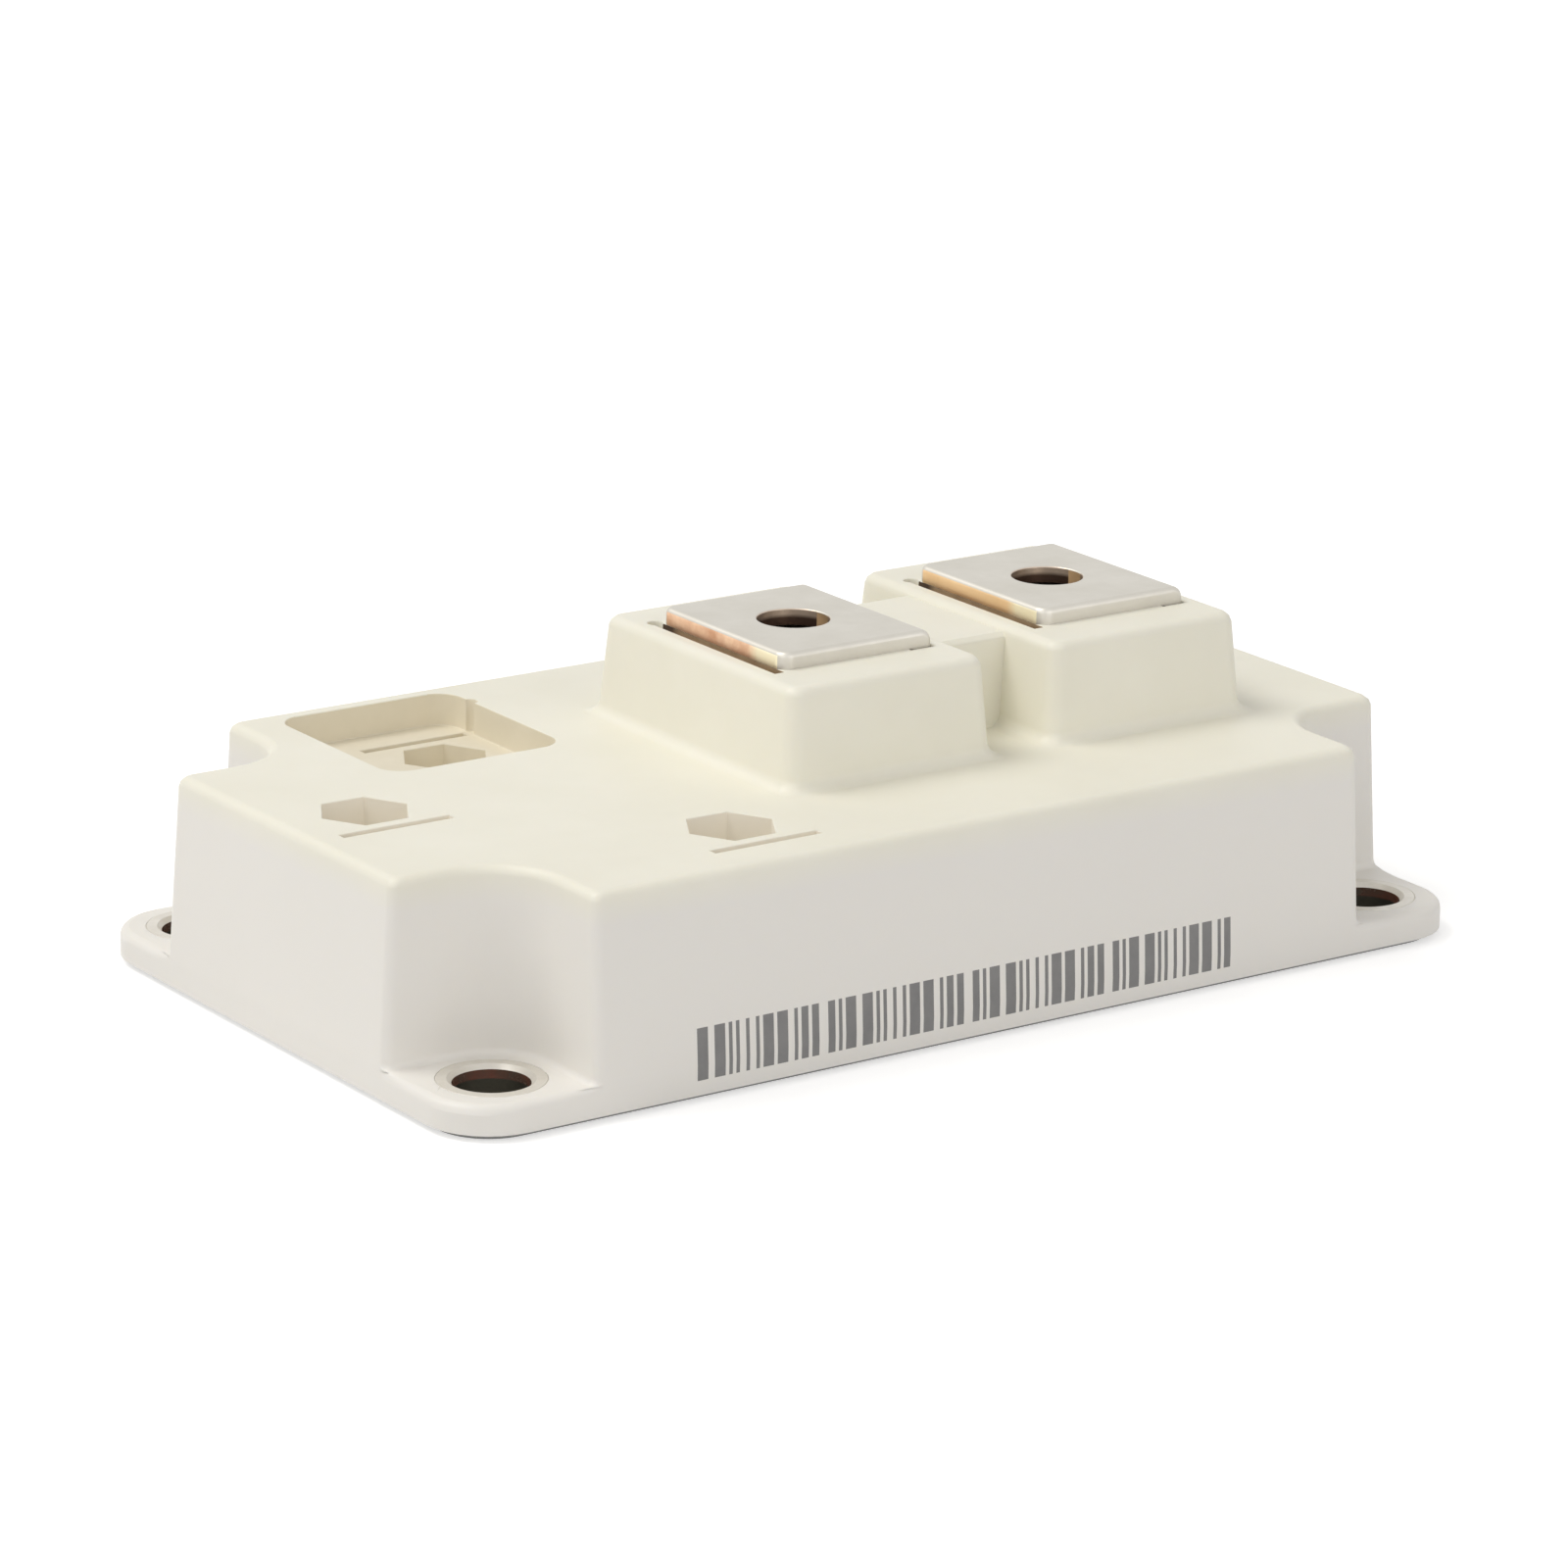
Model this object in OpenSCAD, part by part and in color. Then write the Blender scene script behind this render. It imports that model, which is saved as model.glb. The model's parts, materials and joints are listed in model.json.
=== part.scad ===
/* [Outline] */
// Length of the module over its mounting ears
module_l = 106.4; // [102:0.2:116]
// Width of the module
module_w = 61.4; // [58:0.2:70]
// Height of the lid above the heat-sink face
lid_z = 19.5; // [18.5:0.25:22]
// Height of the mounting ears above the heat-sink face
ear_z = 3.2; // [2.8:0.1:4]
// Radius of the ear corners, seen from above
corner_r = 6; // [4:0.1:6.5]

/* [Mounting holes] */
// Distance of each screw hole from the two edges of its ear
hole_inset = 6.7; // [6.3:0.1:8]
// Screw hole through base plate and bush
hole_d = 6.6; // [5.5:0.1:7]
// Outer diameter of the bush moulded into each ear
bush_d = 9.2; // [8.4:0.1:10]
// Gap between bush and housing
bush_gap = 0.1; // [0.05:0.05:0.2]
// Radius of the well that leaves room for the screw head
well_r = 5.9; // [5.5:0.1:6.5]

/* [Base plate] */
// Thickness of the copper base plate
plate_t = 2; // [1.8:0.1:2.2]
// How far the plate stands proud of the housing, so that it meets the heat sink first
plate_proud = 0.6; // [0.2:0.1:0.7]
// Plastic rim round the plate
rim_w = 1.1; // [0.9:0.1:1.6]
// Gap between plate and rim
plate_gap = 0.15; // [0.1:0.05:0.3]

/* [Moulded housing] */
// Wall thickness
wall = 2; // [1.6:0.1:2.2]
// Thickness of the lid
lid_t = 2.2; // [1.8:0.1:2.6]
// Inward lean of the outer walls from ear to lid
wall_draft = 1; // [0.4:0.1:1.4]
// Lean of the screw wells from ear to lid
well_draft = 0.3; // [0:0.1:0.6]
// Rounding along the lid's edge
lid_round = 0.9; // [0.6:0.1:1.2]
// Rounding of the upright edges beside the wells
upright_round = 0.9; // [0.6:0.1:1.4]
// Rounding along the top edge of the ears
ear_round = 0.8; // [0.4:0.1:1]
// Fillet where the well meets the ear
well_fillet = 0.6; // [0.3:0.1:0.8]
// Fall of the ear's top face towards its edge
ear_fall = 0.05; // [0.02:0.01:0.1]

/* [Terminal blocks] */
// Distance of the first power terminal from the middle of the module
terminal_x = 0; // [-2:0.5:2]
// Pitch between the two power terminals
terminal_pitch = 28; // [26:0.5:29]
// Height of the blocks above the heat-sink face
block_z = 28.6; // [27:0.1:31]
// Length of a block's top
block_l = 20.6; // [20.2:0.1:22]
// Width of a block's top
block_w = 29.3; // [26:0.1:34]
// Outward lean of a block's sides, from top to foot
block_draft = 0.7; // [0.3:0.1:1]
// Rounding of a block's upright edges
block_corner = 1.4; // [1:0.1:2]
// Rounding along a block's top edge
block_round = 0.9; // [0.5:0.1:1.2]
// Fillet at a block's foot
block_fillet = 1.1; // [0.5:0.1:1.5]
// Width of the web that joins the blocks
web_w = 15.2; // [10:0.2:18]
// How far the web's top lies below the blocks
web_drop = 0.6; // [0.3:0.1:1.5]
// Outward lean of the web's sides
web_draft = 0.3; // [0:0.1:0.6]
// Chamfer along the web's top edges
web_edge = 0.5; // [0.2:0.1:0.8]

/* [Power terminals] */
// Thickness of the copper strap
strap_t = 1.5; // [1.2:0.1:1.6]
// Width of the strap
strap_w = 18.8; // [16:0.2:20]
// Free end of the strap, from the screw hole
strap_tip = 7.7; // [7:0.1:8]
// Outside of the strap's bend, from the screw hole
strap_back = 8.3; // [8.1:0.05:8.5]
// Inner radius of the strap's bends
bend_r = 0.9; // [0.6:0.1:1.2]
// Rounding of the strap's two free corners
strap_corner = 1.2; // [0.5:0.1:2]
// Screw hole in the strap
strap_hole_d = 6.5; // [5.5:0.1:7]
// Gap between strap and housing slot
strap_gap = 0.2; // [0.1:0.05:0.3]
// Width of the groove that takes the strap's free end
groove_w = 0.9; // [0.6:0.1:1.2]
// Depth of the groove
groove_depth = 1; // [0.6:0.1:1.4]
// Vent hole at the groove's end
vent_d = 1.4; // [1:0.1:1.6]

/* [Terminal nuts] */
// Nut width across its flats
nut_af = 10; // [8:0.5:10]
// Nut thickness
nut_t = 5; // [4:0.5:6]
// Thread's inner diameter
nut_bore_d = 5; // [4:0.1:5.4]
// Gap round the nut in its pocket
nut_gap = 0.1; // [0.05:0.05:0.15]
// Gap above the nut, under the strap
nut_headroom = 0.3; // [0.2:0.1:0.5]
// Wall round the nut pocket
nut_wall = 1.4; // [1.2:0.1:1.4]
// Diameter of the blind hole for the screw's tip
tip_hole_d = 6.8; // [6.5:0.1:7]
// Depth of that hole below the nut
tip_hole_depth = 7.6; // [6:0.2:8]

/* [Auxiliary pockets] */
// Pocket width across its flats
aux_af = 7.2; // [5.5:0.1:8]
// Depth of the pockets below the lid
aux_depth = 4.6; // [4.2:0.1:4.8]
// Depth of the rear pocket below its recess
rear_depth = 2.9; // [2.4:0.1:3]
// Length of the slot beside each pocket
slot_l = 10.8; // [8:0.2:12]
// Width of the slot
slot_w = 0.9; // [0.6:0.1:1.2]
// Depth of the slot
slot_depth = 1.2; // [0.6:0.1:1.4]
// Plastic left round a pocket and under a slot
aux_wall = 1.4; // [1:0.1:1.6]
// Distance of the side pocket from the module's end
side_pocket_inset = 9.2; // [8:0.1:12]
// Distance of the front pocket from the front of the module
front_pocket_inset = 10.7; // [9.5:0.1:12]
// Distance of the front pocket from the first power terminal
front_pocket_offset = 20.2; // [18:0.1:24]
// Distance of each slot from the middle of its pocket
slot_offset = 5.2; // [4.8:0.1:6]

/* [Rear recess] */
// Width of the recess that holds the rear pocket
recess_w = 19.7; // [16:0.1:20]
// Depth of the recess below the lid
recess_depth = 3; // [1:0.2:3]
// Corner radius of the recess
recess_r = 2.4; // [1:0.1:4]
// Distance of the recess from the rear of the module
recess_inset = 2.9; // [2.7:0.1:4]
// Plastic left between the recess and the screw well
recess_well_gap = 4.2; // [3.5:0.1:6]
// Lid left between the recess and the first terminal block
recess_block_gap = 8.2; // [6:0.1:9]

/* [Power circuit] */
// Gap between two ceramic substrates
substrate_gap = 1.5; // [1:0.1:3]
// Room between the outer substrates and the housing
substrate_margin = 0.35; // [0.2:0.05:1]
// Width of a substrate across the module
substrate_w = 44; // [43:0.5:46]
// Thickness of the ceramic
ceramic_t = 0.4; // [0.3:0.1:0.6]
// Thickness of the copper on each side of it
copper_t = 0.3; // [0.2:0.1:0.4]
// Bare ceramic border round the copper
copper_border = 0.8; // [0.5:0.1:1]
// Gap between the two copper fields
field_gap = 1; // [0.6:0.1:1.4]
// Width of the field that the bond wires land on
landing_w = 11.5; // [11:0.1:12]
// Gap between the two chips on a substrate
chip_gap = 1.05; // [0.65:0.05:2.45]
// Width of a chip
chip_w = 13; // [11:0.1:14]
// Thickness of a chip
chip_t = 0.3; // [0.2:0.1:0.4]
// Distance of the chips from the edge of their copper field
chip_inset = 1; // [0.5:0.1:2]
// Bond wires on each chip
wires_per_chip = 6; // [4:1:7]
// Thickness of a bond wire
wire_d = 0.4; // [0.3:0.05:0.5]
// Height of a wire's loop
wire_rise = 2.6; // [2:0.1:3]
// Height of the gel above the heat-sink face
gel_z = 7; // [6.6:0.1:7.2]
// Gap between the gel and what it flows round
gel_gap = 0.1; // [0.05:0.05:0.15]

/* [Busbars] */
// Underside of the upper busbar
upper_bar_z = 10.6; // [10.2:0.1:10.8]
// Underside of the lower busbar
lower_bar_z = 7.6; // [7.4:0.1:7.8]
// How far the busbars run past their outer feet
bar_end = 1; // [0.5:0.25:3]
// Width of a busbar's foot
foot_w = 6; // [4:0.5:8]
// Length of a foot's sole
foot_l = 5; // [4:0.25:5.25]
// Where the feet stand, from the module's long centre line
foot_y = 16; // [15.5:0.1:16.5]

/* [Hidden] */
$fn = 64;
// Steps in each small rounding, each screw well and each block corner
round_steps = 3;
well_steps = 8;
corner_steps = 4;
eps = 0.01;

half_l = module_l / 2;
half_w = module_w / 2;
hole_x = half_l - hole_inset;
hole_y = half_w - hole_inset;
rim_z = plate_proud;
plate_l = module_l - 2 * rim_w;
plate_w = module_w - 2 * rim_w;
plate_r = corner_r - rim_w;
lid_under = lid_z - lid_t;
block_top_t = 3;
// Gap between a leg and the busbar that passes it, and from the outer wires to the chip's edges
pass_gap = 1;
wire_inset = 1;
block_shell = 2;
terminals = [terminal_x, terminal_x + terminal_pitch];
strap_z = block_z + strap_t;
nut_top = block_z - nut_headroom;
nut_seat = nut_top - nut_t;
tip_floor = nut_seat - tip_hole_depth;
groove_x = -strap_tip - groove_w / 2;
copper_z = plate_t + 2 * copper_t + ceramic_t;
chip_top = copper_z + chip_t;
fold_r = bend_r + strap_t;
leg_x = strap_back - strap_t;
room_x = hole_x - well_r - wall - substrate_margin;
substrate_l = 2 * (room_x - substrate_gap) / 3;
substrate_pitch = substrate_l + substrate_gap;
bar_reach = substrate_pitch + foot_w / 2 + bar_end;
field_l = substrate_l - 2 * copper_border;
field_w = substrate_w - 2 * copper_border;
landing_y = -field_w / 2 + landing_w;
chip_y = landing_y + field_gap + chip_inset + chip_w / 2;
chip_x = field_l / 4;
chip_l = field_l / 2 - chip_gap;
wire_from = chip_y + chip_inset;
wire_to = landing_y - landing_w / 4;

recess_left = well_r + recess_well_gap - hole_x;
recess_right = terminals[0] - block_l / 2 - recess_block_gap;
recess_rear = half_w - recess_inset;
recess_floor = lid_z - recess_depth;

// Empty pockets for auxiliary terminals: centre, and which side the slot lies on
side_pocket = [side_pocket_inset - half_l, 0, -1];
front_pocket = [terminals[0] - front_pocket_offset, front_pocket_inset - half_w, -1];
rear_slot_y = recess_rear - recess_w / 5;
rear_pocket = [recess_right - slot_l / 2 - slot_w / 2, rear_slot_y - slot_offset, 1];
aux_floor = lid_z - aux_depth;
rear_floor = max(recess_floor - rear_depth, upper_bar_z + strap_t + aux_wall + gel_gap);

substrates = [1, 2, 3];
chips_per_substrate = 2;
chips = [1:len(substrates) * chips_per_substrate];
ears = [1:4];

// ---- outlines and lofts ----

function arc(cx, cy, r, a0, a1, steps) =
    [for (i = [0:steps]) let (a = a0 + (a1 - a0) * i / steps) [cx + r * cos(a), cy + r * sin(a)]];

function reversed(list) = [for (i = [len(list) - 1:-1:0]) list[i]];

// A quarter outline, from the +X side to the +Y side, repeated round the centre
function all_round(quarter) = concat(
    quarter,
    reversed([for (p = quarter) [-p[0], p[1]]]),
    [for (p = quarter) [-p[0], -p[1]]],
    reversed([for (p = quarter) [p[0], -p[1]]])
);

function at_height(outline, z) = [for (p = outline) [p[0], p[1], z]];

// Body outline with a screw well at each corner. side_in moves the outer
// walls inwards, well_in widens the wells, round is that of the upright edges.
function body_outline(side_in, well_in, round) =
    let (
        x = half_l - side_in,
        y = half_w - side_in,
        r = well_r + well_in,
        well_x = hole_x - r,
        well_y = hole_y - r
    )
    all_round(concat(
        arc(x - round, well_y - round, round, 0, 90, round_steps),
        arc(hole_x, hole_y, r, 270, 180, well_steps),
        arc(well_x - round, y - round, round, 0, 90, round_steps)
    ));

// Ear outline with as many points as body_outline. ear_in draws in the free
// edge round the ear and fades out where the body wall rises from it.
function ear_outline(ear_in) =
    let (
        well_x = hole_x - well_r,
        well_y = hole_y - well_r,
        side = [for (i = [0:round_steps]) i / round_steps],
        fade_y = 0.6 * (half_w - corner_r - well_y),
        fade_x = 0.6 * (half_l - corner_r - well_x),
        cx = half_l - corner_r,
        cy = half_w - corner_r
    )
    all_round(concat(
        [for (t = side) [half_l - ear_in * t, well_y - upright_round + fade_y * t]],
        arc(cx, cy, corner_r - ear_in, 0, 90, well_steps),
        [for (t = reversed(side)) [well_x - upright_round + fade_x * t, half_w - ear_in * t]]
    ));

function box_outline(l, w, r) =
    all_round(arc(l / 2 - r, w / 2 - r, r, 0, 90, corner_steps));

// A quarter-round edge below height z: [inward shift, height] at each step
function top_round(r, z) =
    [for (i = [0:round_steps]) let (a = 90 * i / round_steps) [r * (1 - cos(a)), z - r + r * sin(a)]];

// A quarter-round fillet above height z: [outward shift, height] at each step
function foot_fillet(r, z) =
    [for (i = [0:round_steps]) let (a = 90 * i / round_steps) [r * (1 - sin(a)), z + r * (1 - cos(a))]];

// Solid through a stack of rings round the Z axis, each with the same number
// of points. Each end is closed by a fan of triangles about its middle.
module loft(rings) {
    n = len(rings[0]);
    last = len(rings) - 1;
    sides = [
        for (k = [0:last - 1], i = [0:n - 1])
        let (j = (i + 1) % n, a = k * n, b = a + n)
        each [[a + i, b + i, b + j], [a + i, b + j, a + j]]
    ];
    base_middle = (last + 1) * n;
    top_middle = base_middle + 1;
    base = [for (i = [0:n - 1]) [base_middle, i, (i + 1) % n]];
    top = [for (i = [0:n - 1]) [top_middle, last * n + (i + 1) % n, last * n + i]];
    middles = [[0, 0, rings[0][0][2]], [0, 0, rings[last][0][2]]];
    polyhedron(concat([for (ring = rings) each ring], middles), concat(base, sides, top));
}

module rounded_square(l, w, r) {
    square([l - 2 * r, w], center = true);
    square([l, w - 2 * r], center = true);
    for (x = [-1, 1], y = [-1, 1])
        translate([x * (l / 2 - r), y * (w / 2 - r)]) circle(r);
}

module slab(l, w, t, z) {
    translate([-l / 2, -w / 2, z]) cube([l, w, t]);
}

module hexagon_prism(af, z0, z1) {
    translate([0, 0, z0]) cylinder(h = z1 - z0, d = af / cos(30), $fn = 6);
}

module at_holes() {
    for (x = [-hole_x, hole_x], y = [-hole_y, hole_y]) translate([x, y, 0]) children();
}

// ---- base plate and bushes ----

module base_plate() {
    color("#c9c7c2")
    difference() {
        linear_extrude(plate_t) rounded_square(plate_l, plate_w, plate_r);
        at_holes() translate([0, 0, -1]) cylinder(h = plate_t + 2, d = hole_d);
    }
}

module mounting_bush(index) {
    side_x = index % 2 == 1 ? -1 : 1;
    side_y = index <= 2 ? -1 : 1;
    color("#b9b3a8")
    translate([side_x * hole_x, side_y * hole_y, plate_t])
    difference() {
        cylinder(h = ear_z - plate_t, d = bush_d);
        translate([0, 0, -1]) cylinder(h = ear_z, d = hole_d);
    }
}

// ---- housing ----

function side_lean(z) = wall_draft * (z - ear_z) / (lid_z - ear_z);
function well_lean(z) = well_draft * (z - ear_z) / (lid_z - ear_z);

module outer_skin() {
    ear_rings = [for (s = top_round(ear_round, ear_z - ear_fall)) at_height(ear_outline(s[0]), s[1])];
    foot_rings = [
        for (s = foot_fillet(well_fillet, ear_z))
        at_height(body_outline(side_lean(s[1]), well_lean(s[1]) - s[0], upright_round), s[1])
    ];
    lid_rings = [
        for (s = top_round(lid_round, lid_z))
        at_height(body_outline(side_lean(s[1]) + s[0], well_lean(s[1]) + s[0], upright_round), s[1])
    ];
    loft(concat([at_height(ear_outline(0), rim_z)], ear_rings, foot_rings, lid_rings));
}

module cavity() {
    loft([
        for (z = [plate_t - eps, lid_under])
        at_height(body_outline(side_lean(z) + wall, well_lean(z) + wall, upright_round), z)
    ]);
    translate([0, 0, rim_z - 1])
        linear_extrude(plate_t - rim_z + 1)
        rounded_square(plate_l + 2 * plate_gap, plate_w + 2 * plate_gap, plate_r + plate_gap);
}

// Outline of one terminal block, grown outwards by out
function block_outline(out) =
    box_outline(block_l + 2 * out, block_w + 2 * out, block_corner + min(out, 0) / 2);

function block_lean(z) = block_draft * (block_z - z) / (block_z - lid_z);

module block_skin() {
    foot_rings = [
        for (s = foot_fillet(block_fillet, lid_z))
        at_height(block_outline(block_lean(s[1]) + s[0]), s[1])
    ];
    top_rings = [
        for (s = top_round(block_round, block_z))
        at_height(block_outline(block_lean(s[1]) - s[0]), s[1])
    ];
    sunk = at_height(block_outline(block_draft + block_fillet), lid_under + eps);
    loft(concat([sunk], foot_rings, top_rings));
}

module web() {
    h = block_z - web_drop - lid_under;
    span = terminal_pitch - block_l + 2 * block_shell;
    low_y = web_w / 2 + web_draft;
    high_y = web_w / 2 - web_edge;
    translate([terminals[0] + (terminal_pitch - span) / 2, 0, lid_under + eps])
        rotate([90, 0, 90])
        linear_extrude(span)
        polygon([
            [-low_y, 0], [low_y, 0], [web_w / 2, h - web_edge], [high_y, h],
            [-high_y, h], [-web_w / 2, h - web_edge]
        ]);
}

// Room inside a block, round its nut tower
module block_hollow() {
    slab(block_l - 2 * block_shell, block_w - 2 * block_shell, block_z - block_top_t - lid_under + 1, lid_under - 1);
}

module nut_tower() {
    rotate(30) hexagon_prism(nut_af + 2 * nut_gap + 2 * nut_wall, tip_floor - nut_wall, block_z - 1);
}

module nut_room() {
    rotate(30) hexagon_prism(nut_af + 2 * nut_gap, nut_seat, block_z + 1);
    translate([0, 0, tip_floor]) cylinder(h = nut_seat - tip_floor + eps, d = tip_hole_d);
}

module strap_slot() {
    translate([leg_x - strap_gap, -strap_w / 2 - strap_gap, lid_under])
        cube([strap_t + 2 * strap_gap, strap_w + 2 * strap_gap, block_z]);
    // The slot's mouth widens inwards, where the strap rounds its bend
    translate([leg_x - bend_r, -strap_w / 2 - strap_gap, block_z - bend_r])
        cube([bend_r, strap_w + 2 * strap_gap, bend_r + 1]);
}

module tip_groove() {
    translate([-strap_tip - groove_w, -strap_w / 2 - strap_gap, block_z - groove_depth])
        cube([groove_w, strap_w + 2 * strap_gap, groove_depth + 1]);
    translate([groove_x, strap_w / 2 + strap_gap, block_z - 2 * groove_depth])
        cylinder(h = 3 * groove_depth, d = vent_d);
}

// Plastic under a pocket whose floor lies at floor_z
module aux_tower(pocket, floor_z) {
    translate([pocket[0], pocket[1], floor_z - aux_wall])
        cylinder(h = lid_under - floor_z + aux_wall + eps, d = aux_af / cos(30) + 2 * aux_wall);
    translate([pocket[0], pocket[1] + pocket[2] * slot_offset, 0])
        slab(slot_l + 2 * aux_wall, slot_w + 2 * aux_wall, aux_wall + eps, lid_under - aux_wall);
}

// Hexagon and slot of a pocket, cut down from mouth_z
module aux_room(pocket, floor_z, mouth_z) {
    translate([pocket[0], pocket[1], 0]) hexagon_prism(aux_af, floor_z, lid_z + 1);
    translate([pocket[0], pocket[1] + pocket[2] * slot_offset, 0])
        slab(slot_l, slot_w, slot_depth + eps, mouth_z - slot_depth);
}

// The recess grown outwards by out, from z up to the height top
module recess_block(out, z, top) {
    l = recess_right - recess_left + 2 * out;
    translate([(recess_left + recess_right) / 2, recess_rear - recess_w / 2, z])
        linear_extrude(top - z) rounded_square(l, recess_w + 2 * out, recess_r + out);
}

module housing() {
    color("#efece0")
    difference() {
        union() {
            difference() {
                union() {
                    outer_skin();
                    for (x = terminals) translate([x, 0, 0]) block_skin();
                    web();
                }
                cavity();
                for (x = terminals) translate([x, 0, 0]) block_hollow();
            }
            for (x = terminals) translate([x, 0, 0]) nut_tower();
            aux_tower(side_pocket, aux_floor);
            aux_tower(front_pocket, aux_floor);
            aux_tower(rear_pocket, rear_floor);
            recess_block(aux_wall, recess_floor - aux_wall - slot_depth, lid_under + eps);
        }
        for (x = terminals) translate([x, 0, 0]) {
            nut_room();
            strap_slot();
            tip_groove();
        }
        aux_room(side_pocket, aux_floor, lid_z);
        aux_room(front_pocket, aux_floor, lid_z);
        aux_room(rear_pocket, rear_floor, recess_floor);
        recess_block(0, recess_floor, lid_z + 1);
        translate([recess_right, rear_slot_y, recess_floor]) cylinder(h = recess_depth + 1, d = vent_d);
        at_holes() cylinder(h = lid_z, d = bush_d + 2 * bush_gap);
    }
}

// ---- power terminals ----

// Quarter bend of the sheet about [cx, cz], from angle a0 on, seen along -Y
module bend(cx, cz, a0) {
    translate([cx, cz])
    intersection() {
        difference() {
            circle(fold_r);
            circle(bend_r);
        }
        rotate(a0) square(fold_r + 1);
    }
}

// Side view of the strap and its leg, down to the busbar at bar_z
module strap_profile(bar_z) {
    translate([-strap_tip, block_z]) square([strap_tip + strap_back - fold_r, strap_t]);
    bend(strap_back - fold_r, strap_z - fold_r, 0);
    translate([leg_x, bar_z + fold_r]) square([strap_t, strap_z - bar_z - 2 * fold_r]);
    bend(strap_back - fold_r, bar_z + fold_r, 270);
}

module strap(bar_z) {
    difference() {
        translate([0, strap_w / 2, 0]) rotate([90, 0, 0]) linear_extrude(strap_w) strap_profile(bar_z);
        translate([0, 0, block_z - 1]) cylinder(h = strap_t + 2, d = strap_hole_d);
        for (side = [-1, 1])
            translate([-strap_tip, side * strap_w / 2, block_z - 1])
            linear_extrude(strap_t + 2)
            difference() {
                translate([-1, -strap_corner]) square([1 + strap_corner, 2 * strap_corner]);
                translate([strap_corner, -side * strap_corner]) circle(strap_corner);
            }
    }
}

// Side view of a foot, folded down from a bar whose edge lies at y = 0
module foot_profile(bar_z) {
    drop = bar_z - copper_z;
    translate([-strap_t, drop]) square([strap_t + eps, strap_t]);
    bend(0, drop + strap_t - fold_r, 0);
    translate([bend_r, fold_r]) square([strap_t, drop + strap_t - 2 * fold_r]);
    bend(bend_r + fold_r, fold_r, 180);
    translate([bend_r + fold_r, 0]) square([foot_l - fold_r, strap_t]);
}

module foot(bar_z, side) {
    translate([0, side * (foot_y - bend_r), copper_z])
        rotate(side > 0 ? 90 : -90)
        translate([0, foot_w / 2, 0])
        rotate([90, 0, 0])
        linear_extrude(foot_w) foot_profile(bar_z);
}

// A terminal at x: strap, leg, busbar towards side (+1 rear, -1 front) and a foot on each substrate
module power_terminal(x, bar_z, side) {
    fold_x = x + strap_back - fold_r;
    inner_y = -side * strap_w / 2;
    edge_y = side * (foot_y - bend_r);
    pass_y = side * (strap_w / 2 + pass_gap);
    color("#c8a07c") {
        translate([x, 0, 0]) strap(bar_z);
        translate([-bar_reach, min(inner_y, edge_y), bar_z])
            cube([bar_reach + fold_x, abs(edge_y - inner_y), strap_t]);
        if (bar_reach > fold_x)
            translate([fold_x - eps, min(pass_y, edge_y), bar_z])
            cube([bar_reach - fold_x + eps, abs(edge_y - pass_y), strap_t]);
        for (i = [-1:1]) translate([i * substrate_pitch, 0, 0]) foot(bar_z, side);
    }
}

module terminal_nut(x) {
    color("#d0cfca")
    translate([x, 0, 0])
    difference() {
        rotate(30) hexagon_prism(nut_af, nut_seat, nut_top);
        translate([0, 0, nut_seat - 1]) cylinder(h = nut_t + 2, d = nut_bore_d);
    }
}

// ---- power circuit ----

function substrate_x(index) = (index - 2) * substrate_pitch;

module lower_copper(index) {
    color("#b87350") translate([substrate_x(index), 0, 0]) slab(field_l, field_w, copper_t, plate_t);
}

module ceramic_tile(index) {
    color("#f1efe9") translate([substrate_x(index), 0, 0])
        slab(substrate_l, substrate_w, ceramic_t, plate_t + copper_t);
}

module copper_pattern(index) {
    chip_field_w = field_w - landing_w - field_gap;
    color("#b87350")
    translate([substrate_x(index), 0, copper_z - copper_t]) {
        translate([-field_l / 2, -field_w / 2, 0]) cube([field_l, landing_w, copper_t]);
        translate([-field_l / 2, landing_y + field_gap, 0]) cube([field_l, chip_field_w, copper_t]);
    }
}

module power_chip(index) {
    tile = ceil(index / chips_per_substrate);
    side = index % 2 == 1 ? -1 : 1;
    color("#7d858c")
    translate([substrate_x(tile) + side * chip_x, chip_y, 0]) slab(chip_l, chip_w, chip_t, copper_z);
}

// One wire loop seen from the side, thickened by grow, from chip top to landing field
module wire_loop(grow) {
    half_span = (wire_from - wire_to) / 2;
    r = (half_span * half_span + wire_rise * wire_rise) / (2 * wire_rise);
    mid_y = (wire_from + wire_to) / 2;
    mid_z = chip_top + wire_rise - r;
    intersection() {
        translate([mid_y, mid_z])
        difference() {
            circle(r + wire_d / 2 + grow, $fn = 96);
            circle(r - wire_d / 2 - grow, $fn = 96);
        }
        union() {
            translate([mid_y, chip_top]) square([half_span + 3, wire_rise + 2]);
            translate([mid_y - half_span - 3, copper_z]) square([half_span + 3, wire_rise + 3]);
        }
    }
}

module wire_set(index, grow) {
    pitch = (chip_l - 2 * wire_inset) / (wires_per_chip - 1);
    for (side = [-1, 1], i = [0:wires_per_chip - 1])
        translate([substrate_x(index) + side * chip_x + (i - (wires_per_chip - 1) / 2) * pitch, 0, 0])
        translate([-wire_d / 2 - grow, 0, 0])
        rotate([90, 0, 90])
        linear_extrude(wire_d + 2 * grow) wire_loop(grow);
}

module bond_wires(index) {
    color("#d9dadc") wire_set(index, 0);
}

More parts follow.
